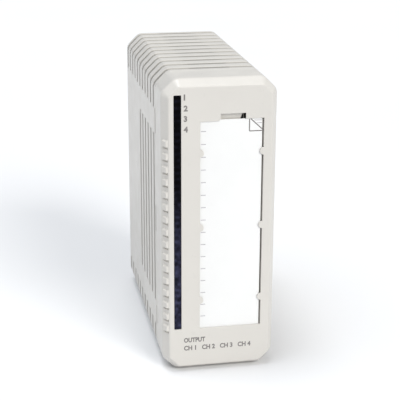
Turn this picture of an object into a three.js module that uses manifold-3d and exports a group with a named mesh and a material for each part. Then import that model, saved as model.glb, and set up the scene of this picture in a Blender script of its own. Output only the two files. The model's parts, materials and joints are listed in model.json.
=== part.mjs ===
// A plug-in output module for a control rack: a slim vented case with a clip-fitted front cover,
// an indicator window and a label card in front, two circuit boards inside, and two
// connectors that stand out of the back.
// Units are millimetres. +Z is up, the front looks towards -Y, and the module stands on z = 0.

import * as THREE from "three";
import { mergeVertices } from "three/addons/utils/BufferGeometryUtils.js";
import Module from "manifold-3d";

const wasm = await Module();
wasm.setup();

// ---------------------------------------------------------------- driving dimensions

const caseWidth = 45;
const caseHeight = 119;
const caseDepth = 102;
const connectorReach = 9; // how far the rear connectors stand out of the case
const wall = 2;
const edgeChamfer = 5.3; // the four long edges of the case
const edgeRound = 4; // radius that softens every corner of the outer outline
const innerRound = 2; // and the least radius of the outlines inside it
const gap = 0.3; // between neighbouring pieces
const through = 1; // how far a cutter runs past the face that it cuts

const halfWidth = caseWidth / 2;
const frontY = -(caseDepth + connectorReach) / 2;
const rearY = frontY + caseDepth;
const connectorEndY = rearY + connectorReach;
const seamY = frontY + 17; // the front cover meets the housing here

const bevel = { depth: 4, inset: 2.45 }; // slope round the front face
const innerBevel = { depth: 3, inset: 1.6 };
const lip = { from: seamY - 4.5, to: seamY + 1.9, outer: wall + 0.15, inner: wall + 1.1 };
const hookLevels = [[13.5, 21.7], [54.1, 64.9], [94.4, 104.3]];
const hookSlotDepth = 1.6;
const hookReach = [wall + 0.6, 1.5]; // how far in from the side its inner and outer face lie

const ridge = { count: 16, pitch: 5.05, height: 2.8, topZ: 96.2, rise: 0.75 };

const slot = { count: 11, pitch: 7.69, width: 2.9, firstY: frontY + 21.8 };
const upperSlotFoot = 104; // the upper slots run over the top and down to here
const lowerSlotHead = 12.5; // the lower slots run under the case and up to here
const sideSlot = { count: 6, z: [22.7, 93.9] };
const openHalf = 8; // on top and underneath the slots are open this far from the middle
const grooveDepth = 0.8; // and shallow grooves from there to the chamfers

const windowSlot = { x: [-18.15, -15.25], z: [18.5, 113.4] };
const pocket = { x: [-8, 16.7], z: [18.3, 102.9], stepX: -0.6, stepTop: 103.5, floor: 1.1 };
const pocketSkin = 0.5; // front skin left over the ends of the card and as holding tabs
const undercut = { x: [-8.2, 16.3], z: [16.7, 105.7] };
const card = { x: [-7.9, 16.05], z: [17, 103.4], back: 1.0, thickness: 0.35 };
const tab = { radius: 1.5, levels: [30.3, 60.6, 90.5] };
const nailNotch = { x: [-0.1, 9.6], z: [103.2, 105.7], holeX: 8.3 };
const edgeSlit = 0.4; // gap beside the right edge of the card

const mainBoard = { x: [-18.7, -17.1], y: [-41.5, 40], z: [6, 112.8] };
const outputBoard = { x: [5, 6.6], y: [-34, 34], z: [10, 109] };
const mainFace = mainBoard.x[1] + gap; // parts stand on this side of the main board
const outputFace = outputBoard.x[1] + gap;
const spacerSpots = [[-28, 14], [-28, 105], [24, 14], [24, 105]];
const spacerRadius = 3;
const channelLevels = [27, 47, 67, 87];
const statusLevels = [100.1, 104.2, 108.3, 112.4];

const backPlate = { thickness: 1.8, inset: wall + 0.15 };
const connectorX = [mainFace, mainFace + 12.2];
const processConnector = { z: [12, 72], pins: 20 };
const busConnector = { z: [84, 108], pins: 8 };
const connectorStartY = 30;
const contact = { hole: 1.6, depth: 5, columnOffset: 2.4, endMargin: 3 };
const rearScrew = { x: 12.5, levels: [8.5, 110.5], head: 2.9, shank: 1.1, length: 9 };
const screwRecess = { headDepth: 0.8, crossDepth: 0.5, crossLength: 3, crossWidth: 0.6 };
const bossWidth = 7;
const codingKey = { x: 8.5, levels: [40, 80], radius: 4.6, flange: 1, thickness: 3.2, sunk: 0.2 };
const keySocket = { radius: 1.6, length: 3.4, width: 1.4, depth: 2.4 };

const boardHole = { radius: 1.8, screwDepth: 7 };
const boardScrewSize = { radius: 1.5, reach: 5, slotWidth: 0.7, slotLength: 7, slotFrom: 1.2 };
const boardLink = { y: [18, 23], z: [36, 66] };
const converter = { height: 9, y: [15, 28.5], z: [76, 96] };
const crystal = { height: 3.5, y: -27, z: 72.5, width: 4.6, length: 11 };
const capacitorSpots = [[-27, 27], [-27, 38], [14, 10.5]];
const processorChip = {
  y: -27, z: 58, sizeY: 14, sizeZ: 14, height: 2.2, leads: 7, fourSided: true,
};
const interfaceChip = {
  y: -27, z: 88, sizeY: 16, sizeZ: 16, height: 2.4, leads: 7, fourSided: true,
};
const optocoupler = { y: -11, sizeY: 6.4, sizeZ: 9.2, height: 3.6, leads: 4 };
const transformer = { y: 4, stand: 1.2, height: 10.5 };
const driver = { y: 6, plate: 1.2, height: 4.5, width: 10, plateLength: 16, bodyLength: 10 };
const guideX = [-17.7, -15.5];
const lampY = [frontY + 12.4, frontY + 15.4];
const lampSize = { height: 1.8, width: 2, dome: 0.8 };

// ---------------------------------------------------------------- solids and shapes

// A closed three.js geometry as a solid that can be cut and joined.
function solid(geometry) {
  const bare = geometry.clone();
  bare.deleteAttribute("normal");
  bare.deleteAttribute("uv");
  const merged = mergeVertices(bare, 1e-4);
  const vertProperties = merged.getAttribute("position").array;
  const triVerts = new Uint32Array(merged.index.array);
  return new wasm.Manifold(new wasm.Mesh({ numProp: 3, vertProperties, triVerts }));
}

function geometryOf(body) {
  const mesh = body.getMesh();
  const geometry = new THREE.BufferGeometry();
  geometry.setAttribute("position", new THREE.BufferAttribute(mesh.vertProperties, 3));
  geometry.setIndex(new THREE.BufferAttribute(mesh.triVerts, 1));
  geometry.computeVertexNormals();
  return geometry;
}

const join = (bodies) => bodies.reduce((whole, body) => whole.add(body));
const cut = (body, cutters) => cutters.reduce((rest, cutter) => rest.subtract(cutter), body);

// A box from its low and high value along each axis.
function block(x, y, z) {
  const box = new THREE.BoxGeometry(x[1] - x[0], y[1] - y[0], z[1] - z[0]);
  box.translate((x[0] + x[1]) / 2, (y[0] + y[1]) / 2, (z[0] + z[1]) / 2);
  return solid(box);
}

// A cylinder along X or along Y: that axis takes its two ends, the other two take its centre.
function rodX(radius, x, y, z, sides = 20) {
  const rod = new THREE.CylinderGeometry(radius, radius, x[1] - x[0], sides);
  rod.rotateZ(Math.PI / 2).translate((x[0] + x[1]) / 2, y, z);
  return solid(rod);
}

function rodY(radius, y, x, z, sides = 20) {
  const rod = new THREE.CylinderGeometry(radius, radius, y[1] - y[0], sides);
  rod.translate(x, (y[0] + y[1]) / 2, z);
  return solid(rod);
}

// A turned body: its profile gives radius and height, and the height runs along X from startX.
function turnedX(profile, startX, y, z, sides = 18) {
  const points = profile.map(([radius, height]) => new THREE.Vector2(radius, height));
  const turned = new THREE.LatheGeometry(points, sides);
  turned.rotateZ(-Math.PI / 2).translate(startX, y, z);
  return solid(turned);
}

// A closed outline through corner points, with every corner rounded off by the same reach.
function roundedOutline(corners, reach) {
  const shape = new THREE.Shape();
  corners.forEach((corner, i) => {
    const before = corners[(i + corners.length - 1) % corners.length];
    const after = corners[(i + 1) % corners.length];
    const enter = corner.clone().add(before.clone().sub(corner).setLength(reach));
    const leave = corner.clone().add(after.clone().sub(corner).setLength(reach));
    if (i === 0) shape.moveTo(enter.x, enter.y);
    else shape.lineTo(enter.x, enter.y);
    shape.quadraticCurveTo(corner.x, corner.y, leave.x, leave.y);
  });
  return shape;
}

// The section of the case in the XZ plane, moved inwards by inset: a tall rectangle whose
// corners are cut off at 45 degrees.
function caseCorners(inset) {
  const x = halfWidth - inset;
  const low = inset;
  const high = caseHeight - inset;
  const c = edgeChamfer - inset * (2 - Math.SQRT2);
  return [
    [x - c, low], [x, low + c], [x, high - c], [x - c, high],
    [c - x, high], [-x, high - c], [-x, low + c], [c - x, low],
  ].map(([px, pz]) => new THREE.Vector2(px, pz));
}

// The outline moved inwards, with the length of each corner's curve measured along its sides.
function caseOutline(inset) {
  const radius = Math.max(edgeRound - inset, innerRound);
  return roundedOutline(caseCorners(inset), radius * Math.tan(Math.PI / 8));
}

// A shape in the XZ plane carried along Y.
function prismY(shape, y) {
  const options = { depth: y[1] - y[0], curveSegments: 2, bevelEnabled: false };
  const prism = new THREE.ExtrudeGeometry(shape, options);
  prism.rotateX(Math.PI / 2).translate(0, y[1], 0);
  return solid(prism);
}

// The case's section carried along Y, with a front end that slopes in all round.
function slopedCase(inset, y, slope) {
  const pointed = new THREE.ExtrudeGeometry(new THREE.Shape(caseCorners(inset)), {
    depth: y[1] - y[0],
    bevelSegments: 1,
    bevelThickness: slope.depth,
    bevelSize: slope.inset,
    bevelOffset: -slope.inset,
  });
  pointed.rotateX(Math.PI / 2).translate(0, y[1] + slope.depth, 0);
  return solid(pointed).intersect(prismY(caseOutline(inset), y));
}

// An outline in the XY plane carried up along Z.
function prismZ(points, z) {
  const shape = new THREE.Shape(points.map(([x, y]) => new THREE.Vector2(x, y)));
  const upright = new THREE.ExtrudeGeometry(shape, { depth: z[1] - z[0], bevelEnabled: false });
  upright.translate(0, 0, z[0]);
  return solid(upright);
}

const around = (centre, size) => [centre - size / 2, centre + size / 2];
const widen = ([low, high], by) => [low - by, high + by];

// ---------------------------------------------------------------- front cover

// One grip ridge on the left slope of the front cover: a bar that fills the slope out a little.
function gripRidge(topZ) {
  const slopeLength = Math.hypot(bevel.depth, bevel.inset);
  const faceEdge = bevel.inset - halfWidth;
  const middle = bevel.inset / 2 - halfWidth - (ridge.rise * bevel.depth) / slopeLength;
  const middleY = frontY + bevel.depth / 2 - (ridge.rise * bevel.inset) / slopeLength;
  const points = [
    [faceEdge, frontY],
    [middle, middleY],
    [-halfWidth, frontY + bevel.depth],
    [faceEdge + 0.2, frontY + bevel.depth / 2],
  ];
  return prismZ(points, [topZ - ridge.height, topZ]);
}

// Material left in front of the label pocket as a half-round tab that holds the card's edge.
function cardTab(x, z) {
  return rodY(tab.radius, [frontY, frontY + pocketSkin], x, z, 24);
}

function frontCover() {
  const skinBack = frontY + wall;
  const shell = slopedCase(0, [frontY, seamY], bevel);
  const lipRing = prismY(caseOutline(lip.outer), [lip.from, lip.to]);
  const hollow = slopedCase(wall, [skinBack, lip.from], innerBevel);
  const lipHollow = prismY(caseOutline(lip.inner), [lip.from - gap, lip.to + through]);

  const ridges = Array.from({ length: ridge.count }, (_, i) =>
    gripRidge(ridge.topZ - i * ridge.pitch),
  );
  const hooks = [-1, 1].flatMap((side) =>
    hookLevels.map((level) => {
      const reach = hookReach.map((inset) => side * (halfWidth - inset)).sort((a, b) => a - b);
      return block(reach, [seamY - 0.5, seamY + hookSlotDepth - 0.1], widen(level, -gap));
    }),
  );

  const openTo = frontY + pocket.floor;
  const openFrom = frontY - through;
  const tabs = tab.levels.flatMap((z) => pocket.x.map((x) => cardTab(x, z)));
  const opening = cut(
    join([
      block(pocket.x, [openFrom, openTo], pocket.z),
      block([pocket.stepX, pocket.x[1]], [openFrom, openTo], [pocket.z[1] - 1, pocket.stepTop]),
    ]),
    tabs,
  );
  const cardSlide = block(undercut.x, [frontY + pocketSkin, openTo], undercut.z);
  const notch = block(nailNotch.x, [openFrom, openTo], nailNotch.z);
  const notchHole = block(
    [nailNotch.holeX, nailNotch.x[1]],
    [openFrom, skinBack + through],
    [pocket.stepTop + 0.1, nailNotch.z[1]],
  );
  const slit = block(
    [pocket.x[1] - edgeSlit, pocket.x[1]],
    [frontY + pocketSkin, skinBack + through],
    [pocket.z[0] + edgeSlit, pocket.stepTop],
  );
  const lightSlot = block(windowSlot.x, [openFrom, skinBack + through], windowSlot.z);

  const body = join([cut(shell.add(lipRing), [hollow, lipHollow]), ...ridges, ...hooks]);
  return cut(body, [opening, cardSlide, notch, notchHole, slit, lightSlot]);
}

// The dark window over the status lamps, with a flange behind the front skin.
function indicatorWindow() {
  const x = widen(windowSlot.x, -0.1);
  const z = widen(windowSlot.z, -0.1);
  const flangeY = frontY + wall + gap;
  const pane = block(x, [frontY + 0.15, flangeY], z);
  return pane.add(block(widen(x, 0.5), [flangeY, flangeY + 0.8], [z[0] - 1, z[1] - 1]));
}

function labelCard() {
  const y = [frontY + card.back - card.thickness, frontY + card.back];
  return block(card.x, y, card.z);
}

// ---------------------------------------------------------------- housing

// A band that follows the outline of the case, between the outside and a depth under it.
function outlineBand(depth, y) {
  const outside = prismY(caseOutline(-through), y);
  return outside.subtract(prismY(caseOutline(depth), widen(y, through)));
}

// The cutters of one slot of the upper set, and of the lower set, which mirrors it.
function wrapSlots(y) {
  const beyond = caseWidth;
  const openBand = outlineBand(wall + through / 2, y);
  const groove = outlineBand(grooveDepth, y);
  const chamferX = halfWidth - edgeChamfer;
  const upper = [upperSlotFoot, caseHeight + beyond];
  const lower = [-beyond, lowerSlotHead];
  const wide = widen(y, through);
  return [upper, lower].flatMap((z) => [
    openBand.intersect(block([-beyond, -chamferX], wide, z)),
    openBand.intersect(block([chamferX, beyond], wide, z)),
    openBand.intersect(block([-openHalf, openHalf], wide, z)),
    groove.intersect(block([-beyond, beyond], wide, z)),
  ]);
}

function sideSlots(y) {
  const reach = halfWidth - wall - through / 2;
  return [
    block([-caseWidth, -reach], y, sideSlot.z),
    block([reach, caseWidth], y, sideSlot.z),
  ];
}

// A block under the top wall or over the bottom wall that takes a screw from the back.
function screwBoss(z) {
  const inner = 3.2;
  const wallZ = z > caseHeight / 2 ? [z - inner, caseHeight - wall / 2] : [wall / 2, z + inner];
  const y = [rearY - backPlate.thickness - gap - rearScrew.length, rearY - backPlate.thickness - gap];
  return block(around(rearScrew.x, bossWidth), y, wallZ);
}

function housing() {
  const startY = seamY + 0.2;
  const sleeve = prismY(caseOutline(0), [startY, rearY]);
  const hollow = prismY(caseOutline(wall), [startY - through, rearY + through]);
  const bosses = rearScrew.levels.map(screwBoss);
  const slotPlaces = Array.from({ length: slot.count }, (_, i) =>
    around(slot.firstY + i * slot.pitch, slot.width),
  );
  const hookSlots = hookLevels.map((level) =>
    block([-caseWidth, caseWidth], [startY - through, startY + hookSlotDepth], level),
  );
  const screwHoles = rearScrew.levels.map((z) =>
    rodY(rearScrew.shank + gap, [0, rearY], rearScrew.x, z, 16),
  );
  const vents = slotPlaces.flatMap(wrapSlots);
  const sideVents = slotPlaces.slice(0, sideSlot.count).flatMap(sideSlots);
  return cut(join([sleeve.subtract(hollow), ...bosses]), [
    ...vents,
    ...sideVents,
    ...hookSlots,
    ...screwHoles,
  ]);
}

// The back plate sits inside the end of the housing, round both connectors.
function rearCover() {
  const y = [rearY - backPlate.thickness, rearY];
  const past = widen(y, through);
  const plate = prismY(caseOutline(backPlate.inset), y);
  const connectorHoles = [processConnector.z, busConnector.z].map((z) =>
    block(widen(connectorX, gap), past, widen(z, gap)),
  );
  const keyHoles = codingKey.levels.map((z) =>
    rodY(codingKey.radius + gap / 2, past, codingKey.x, z, 28),
  );
  const screwHoles = rearScrew.levels.map((z) =>
    rodY(rearScrew.shank + gap, past, rearScrew.x, z, 16),
  );
  const headSeats = rearScrew.levels.map((z) =>
    rodY(
      rearScrew.head + gap,
      [rearY - screwRecess.headDepth, rearY + through],
      rearScrew.x,
      z,
      24,
    ),
  );
  return cut(plate, [...connectorHoles, ...keyHoles, ...screwHoles, ...headSeats]);
}

// A flat-headed screw with a cross recess, driven in from the back.
function rearScrewAt(z) {
  const seat = rearY - screwRecess.headDepth;
  const head = rodY(rearScrew.head, [seat + 0.05, rearY - 0.05], rearScrew.x, z, 24);
  const shank = rodY(rearScrew.shank, [seat - rearScrew.length, seat + 0.1], rearScrew.x, z, 16);
  const recessY = [rearY - screwRecess.crossDepth, rearY + through];
  const { crossLength, crossWidth } = screwRecess;
  const cross = join([
    block(around(rearScrew.x, crossLength), recessY, around(z, crossWidth)),
    block(around(rearScrew.x, crossWidth), recessY, around(z, crossLength)),
  ]);
  return cut(head.add(shank), [cross]);
}

// A round coding key in the back plate: a flanged disc with an arrow-shaped socket.
function codingKeyAt(z) {
  const endY = rearY - codingKey.sunk;
  const startY = endY - codingKey.thickness;
  const disc = rodY(codingKey.radius, [startY, endY], codingKey.x, z, 28);
  const flangeRadius = codingKey.radius + codingKey.flange;
  const flangeEnd = rearY - backPlate.thickness - gap;
  const flange = rodY(flangeRadius, [startY, flangeEnd], codingKey.x, z, 28);
  const socketY = [endY - keySocket.depth, rearY + through];
  const keyway = [codingKey.x, codingKey.x + keySocket.length];
  const socket = join([
    rodY(keySocket.radius, socketY, codingKey.x, z, 16),
    block(keyway, socketY, around(z, keySocket.width)),
  ]);
  return cut(disc.add(flange), [socket]);
}

// ---------------------------------------------------------------- rear connectors

// A connector body on the main board, with two columns of contact holes in its mating end.
function connector({ z, pins }) {
  const bodyY = [connectorStartY, connectorEndY];
  const shroud = block(connectorX, bodyY, z);
  const step = (z[1] - z[0] - 2 * contact.endMargin) / pins;
  const middleX = (connectorX[0] + connectorX[1]) / 2;
  const holes = [-1, 1].flatMap((column) =>
    Array.from({ length: pins }, (_, i) =>
      block(
        around(middleX + column * contact.columnOffset, contact.hole),
        [connectorEndY - contact.depth, connectorEndY + through],
        around(z[0] + contact.endMargin + step * (i + 0.5), contact.hole),
      ),
    ),
  );
  return cut(shroud, holes);
}

// ---------------------------------------------------------------- boards and their parts

function drilledBoard({ x, y, z }) {
  const drillX = widen(x, through);
  return cut(
    block(x, y, z),
    spacerSpots.map(([holeY, holeZ]) => rodX(boardHole.radius, drillX, holeY, holeZ, 16)),
  );
}

// A six-sided spacer between the boards, with a blind hole for the screw at the output board.
function boardSpacer([y, z]) {
  const x = [mainFace, outputBoard.x[0] - gap];
  const body = rodX(spacerRadius, x, y, z, 6);
  const drilled = [x[1] - boardHole.screwDepth, x[1] + through];
  return body.subtract(rodX(boardHole.radius, drilled, y, z, 16));
}

function boardScrew([y, z]) {
  const headProfile = [[0, 0], [2.7, 0], [2.7, 1.2], [1.9, 1.9], [0, 1.9]];
  const head = turnedX(headProfile, outputFace, y, z);
  const { radius, reach, slotWidth, slotLength, slotFrom } = boardScrewSize;
  const shank = rodX(radius, [outputBoard.x[0] - reach, outputFace + 0.2], y, z, 16);
  const slotX = [outputFace + slotFrom, outputFace + 3];
  const slotCut = block(slotX, around(y, slotWidth), around(z, slotLength));
  return cut(head.add(shank), [slotCut]);
}

// A chip on the main board, with leads along two or all four of its sides.
function chip({ y, z, sizeY, sizeZ, height, leads, fourSided }) {
  const body = block([mainFace, mainFace + height], around(y, sizeY), around(z, sizeZ));
  const foot = [mainFace + 0.1, mainFace + 0.6];
  const reach = 1.3;
  const places = (centre, size) =>
    Array.from({ length: leads }, (_, i) => {
      const pitch = size / (leads + 1);
      return around(centre - size / 2 + (i + 1) * pitch, pitch * 0.45);
    });
  const sides = [-1, 1];
  const alongZ = sides.flatMap((side) =>
    places(z, sizeZ).map((at) => block(foot, around(y + (side * sizeY) / 2, 2 * reach), at)),
  );
  const alongY = sides.flatMap((side) =>
    places(y, sizeY).map((at) => block(foot, at, around(z + (side * sizeZ) / 2, 2 * reach))),
  );
  return join([body, ...alongZ, ...(fourSided ? alongY : [])]);
}

// An isolation transformer: a winding between the two limbs of a square core.
function isolationTransformer(z) {
  const { y } = transformer;
  const x = [mainFace + transformer.stand, mainFace + transformer.height];
  const core = block(x, around(y, 14), around(z, 12)).subtract(
    block([x[0] - through, x[1] + through], around(y, 8.4), around(z, 6.4)),
  );
  const limb = block(x, around(y, 3.2), around(z, 12));
  const winding = block([x[0] + 0.8, x[1] - 0.8], around(y, 7.8), around(z, 5.8));
  const base = block([mainFace, x[0] + 0.2], around(y, 15), around(z, 14));
  return join([core, limb, winding, base]);
}

// An electrolytic capacitor standing on the main board, with the crimped groove near its foot.
function filterCapacitor([y, z]) {
  const profile = [
    [0, 0], [4, 0], [4, 1], [3.6, 1.5], [3.6, 1.9], [4, 2.4], [4, 11.6], [3.6, 12], [0, 12],
  ];
  return turnedX(profile, mainFace, y, z);
}

// An output driver with a metal tab, which takes the heat off its channel.
function outputDriver(z) {
  const { y, plate, height, width, plateLength, bodyLength } = driver;
  const plateY = around(y, plateLength);
  const tabPlate = block([outputFace, outputFace + plate], plateY, around(z, width));
  const hole = rodX(1.7, [outputFace - through, outputFace + 3], y + 6, z, 16);
  const bodyX = [outputFace + plate - 0.2, outputFace + height];
  const body = block(bodyX, [plateY[0], plateY[0] + bodyLength], around(z, width));
  return tabPlate.subtract(hole).add(body);
}

// The light guide behind the window: a bar with one prong for each status lamp.
function lightGuide() {
  const barY = [frontY + wall + gap + 1.1, frontY + 8];
  const bar = block(guideX, barY, widen(windowSlot.z, -0.6));
  const prongY = [barY[1] - 0.2, frontY + 11];
  const prongs = statusLevels.map((z) => block(guideX, prongY, around(z, 1.8)));
  return join([bar, ...prongs]);
}

// A status lamp at the front edge of the main board, with its dome towards the light guide.
function statusLed(z) {
  const x = [mainFace, mainFace + lampSize.height];
  const domeY = [lampY[0] - 1, lampY[0] + 0.2];
  const dome = rodY(lampSize.dome, domeY, (x[0] + x[1]) / 2, z, 16);
  return block(x, lampY, around(z, lampSize.width)).add(dome);
}

// ---------------------------------------------------------------- the module

const looks = {
  caseGrey: { color: "#e0ddd6", roughness: 0.5, metalness: 0 },
  windowSmoke: { color: "#15141d", roughness: 0.2, metalness: 0 },
  cardWhite: { color: "#fcfcfc", roughness: 0.6, metalness: 0 },
  guideClear: { color: "#cfd6dc", roughness: 0.2, metalness: 0 },
  boardGreen: { color: "#2f6b3c", roughness: 0.5, metalness: 0 },
  connectorBlack: { color: "#232426", roughness: 0.5, metalness: 0 },
  chipBlack: { color: "#1b1b1c", roughness: 0.6, metalness: 0 },
  ferrite: { color: "#4a4744", roughness: 0.8, metalness: 0 },
  metal: { color: "#b9bcc0", roughness: 0.35, metalness: 1 },
  brassPlate: { color: "#b9a15c", roughness: 0.35, metalness: 1 },
  keyGrey: { color: "#5d6166", roughness: 0.55, metalness: 0 },
  lampClear: { color: "#dfe6d8", roughness: 0.2, metalness: 0 },
};

const outputModule = new THREE.Group();

function place(name, body, look) {
  const mesh = new THREE.Mesh(geometryOf(body), new THREE.MeshStandardMaterial(look));
  mesh.name = name;
  outputModule.add(mesh);
}

function placeEach(name, spots, make, look) {
  spots.forEach((spot, i) => place(`${name}_${i + 1}`, make(spot), look));
}

place("front_cover", frontCover(), looks.caseGrey);
place("housing", housing(), looks.caseGrey);
place("rear_cover", rearCover(), looks.caseGrey);
place("indicator_window", indicatorWindow(), looks.windowSmoke);
place("label_card", labelCard(), looks.cardWhite);
place("light_guide", lightGuide(), looks.guideClear);

place("main_board", drilledBoard(mainBoard), looks.boardGreen);
place("output_board", drilledBoard(outputBoard), looks.boardGreen);
place("process_connector", connector(processConnector), looks.connectorBlack);
place("bus_connector", connector(busConnector), looks.connectorBlack);
place(
  "board_link",
  block([mainFace, outputBoard.x[0] - gap], boardLink.y, boardLink.z),
  looks.connectorBlack,
);

placeEach("board_spacer", spacerSpots, boardSpacer, looks.brassPlate);
placeEach("board_screw", spacerSpots, boardScrew, looks.metal);
placeEach("rear_screw", rearScrew.levels, rearScrewAt, looks.metal);
placeEach("coding_key", codingKey.levels, codingKeyAt, looks.keyGrey);
placeEach("status_led", statusLevels, statusLed, looks.lampClear);

placeEach("isolation_transformer", channelLevels, isolationTransformer, looks.ferrite);
placeEach("output_driver", channelLevels, outputDriver, looks.chipBlack);
placeEach(
  "optocoupler",
  channelLevels,
  (z) => chip({ ...optocoupler, z }),
  looks.chipBlack,
);
placeEach("filter_capacitor", capacitorSpots, filterCapacitor, looks.metal);
place("processor", chip(processorChip), looks.chipBlack);
place("bus_interface_chip", chip(interfaceChip), looks.chipBlack);
place(
  "clock_crystal",
  block(
    [mainFace, mainFace + crystal.height],
    around(crystal.y, crystal.width),
    around(crystal.z, crystal.length),
  ),
  looks.metal,
);
place(
  "supply_converter",
  block([mainFace, mainFace + converter.height], converter.y, converter.z),
  looks.chipBlack,
);

export default outputModule;
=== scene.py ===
# %% [markdown]
# # Finishing a plug-in output module in Blender
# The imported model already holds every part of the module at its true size: the case, the
# boards and the connectors. It is plain and faceted, which is right for collisions and for
# motion. This script leaves those parts where they are and gives the visible ones a finished
# surface: moulded plastic with soft edges, real vent slots, a printed card, a smoked window.

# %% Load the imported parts
import json
import math

import bmesh
import bpy
import numpy as np
from mathutils import Matrix, Vector
from mathutils.geometry import delaunay_2d_cdt


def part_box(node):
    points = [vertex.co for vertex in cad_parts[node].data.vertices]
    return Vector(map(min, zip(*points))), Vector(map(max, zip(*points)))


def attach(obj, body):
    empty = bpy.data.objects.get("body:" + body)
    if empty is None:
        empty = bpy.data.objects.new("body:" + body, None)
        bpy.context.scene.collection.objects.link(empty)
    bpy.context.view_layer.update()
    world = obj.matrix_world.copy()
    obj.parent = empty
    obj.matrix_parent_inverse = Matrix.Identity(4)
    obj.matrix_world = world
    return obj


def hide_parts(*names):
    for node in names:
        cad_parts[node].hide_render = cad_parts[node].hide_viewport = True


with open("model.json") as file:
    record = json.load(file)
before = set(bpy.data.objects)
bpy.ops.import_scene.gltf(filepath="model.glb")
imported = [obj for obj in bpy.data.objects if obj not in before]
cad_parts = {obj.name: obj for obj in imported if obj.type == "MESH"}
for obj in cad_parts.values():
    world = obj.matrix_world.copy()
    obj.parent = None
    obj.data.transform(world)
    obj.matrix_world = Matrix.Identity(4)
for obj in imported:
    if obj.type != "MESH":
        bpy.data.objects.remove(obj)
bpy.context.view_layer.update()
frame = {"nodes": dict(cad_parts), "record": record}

# %% [markdown]
# ## Sizes
# The shapes below are worked out in millimetres, because the module was designed in
# millimetres, and turned into metres when a mesh is made. Outer sizes are read from the
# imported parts, so that a finished surface can't drift away from the part it stands for.
# Small features, such as the widths of slots, are named once. The face of the cover is set
# back by the height of its raised ink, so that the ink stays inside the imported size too.

# %% Measure the case
MM = 0.001


def box_mm(node):
    """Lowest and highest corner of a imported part, in millimetres."""
    low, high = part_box(node)
    return np.array(low) / MM, np.array(high) / MM


cover_low, cover_high = box_mm("front_cover")
sleeve_low, sleeve_high = box_mm("housing")

HALF_WIDTH = sleeve_high[0]
HEIGHT = sleeve_high[2]
INK_HEIGHT = 0.02
FRONT_Y = cover_low[1] + INK_HEIGHT
SLEEVE_Y = (sleeve_low[1], sleeve_high[1])
SEAM_Y = SLEEVE_Y[0] - 0.2

WALL = 2.0
CHAMFER = 5.3
CORNER_RADIUS = 4.0
INNER_RADIUS = 1.2

print("case", 2 * HALF_WIDTH, "wide,", HEIGHT, "tall, front at y", round(FRONT_Y, 2))

# %% [markdown]
# ## Meshes from arrays
# Each new surface is worked out with numpy: a grid of points, or a flat skin between loops.
# These helpers turn such arrays into one closed mesh. Neighbouring surfaces have the same
# points along their common edge, so merging doubles closes the shell, and then the faces can
# be turned outwards. A weighted-normal modifier keeps large flats flat and leaves the shading
# to the small rounded edges, which is how a moulded part catches light.

# %% Helpers that turn arrays into a mesh
def grid_surface(points, closed_rows=False):
    """A surface from points[row, column] = (x, y, z): its points and the quads between them."""
    rows, columns = points.shape[:2]
    last = rows if closed_rows else rows - 1
    i, j = np.meshgrid(np.arange(last), np.arange(columns - 1), indexing="ij")
    after = (i + 1) % rows
    quads = [i * columns + j, i * columns + j + 1, after * columns + j + 1, after * columns + j]
    return points.reshape(-1, 3), np.stack(quads, axis=-1).reshape(-1, 4)


def clean_mesh(name, surfaces, sharp=35):
    """A mesh in metres from surfaces in millimetres, welded, facing outwards, smooth shaded.

    Edges that turn by more than sharp degrees stay sharp."""
    starts = np.cumsum([0] + [len(points) for points, _ in surfaces])
    points = np.vstack([points for points, _ in surfaces]) * MM
    faces = [face for (_, f), start in zip(surfaces, starts) for face in (f + start).tolist()]
    mesh = bpy.data.meshes.new(name)
    mesh.from_pydata(points.tolist(), [], faces)
    welded = bmesh.new()
    welded.from_mesh(mesh)
    bmesh.ops.remove_doubles(welded, verts=welded.verts, dist=2e-7)
    bmesh.ops.dissolve_degenerate(welded, edges=welded.edges, dist=2e-7)
    bmesh.ops.recalc_face_normals(welded, faces=welded.faces)
    open_edges = sum(1 for edge in welded.edges if not edge.is_manifold)
    welded.to_mesh(mesh)
    welded.free()
    mesh.shade_smooth()
    mesh.set_sharp_from_angle(angle=math.radians(sharp))
    print(name, len(mesh.polygons), "faces,", open_edges, "open edges")
    return mesh


def make_piece(name, mesh, material, body, stands_for=()):
    """The object for a finished mesh: its material, its body and the parts it replaces."""
    mesh.materials.clear()
    mesh.materials.append(material)
    piece = bpy.data.objects.new(name, mesh)
    bpy.context.scene.collection.objects.link(piece)
    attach(piece, body)
    if stands_for:
        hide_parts(*stands_for)
    return piece


def even_flats(piece):
    """Weighted normals: every large face keeps its own normal up to the edge of its roundings."""
    normals = piece.modifiers.new("even flats", "WEIGHTED_NORMAL")
    normals.keep_sharp = True


# %% [markdown]
# ## Flat skins with holes
# The front of the cover and the back plate are flat faces with openings in them. A boolean
# could cut them, but it leaves untidy edges. Here the loops are known exactly, so a
# constrained triangulation fills the area between them. A rolled edge carries each loop down
# into its opening: the loop closes in by a small radius while it goes down by the same
# radius, as on the edge of a mould.

# %% Helpers for loops and flat skins
def inside(points, loop):
    """Whether points lie in a closed loop: a ray towards +X crosses the loop an odd number of times."""
    x, z = points[:, 0, None], points[:, 1, None]
    x1, z1 = loop[:, 0], loop[:, 1]
    x2, z2 = np.roll(x1, -1), np.roll(z1, -1)
    rise = np.where(z2 == z1, 1.0, z2 - z1)
    crossing = x1 + (z - z1) * (x2 - x1) / rise
    return (((z1 > z) != (z2 > z)) & (x < crossing)).sum(axis=1) % 2 == 1


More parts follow.
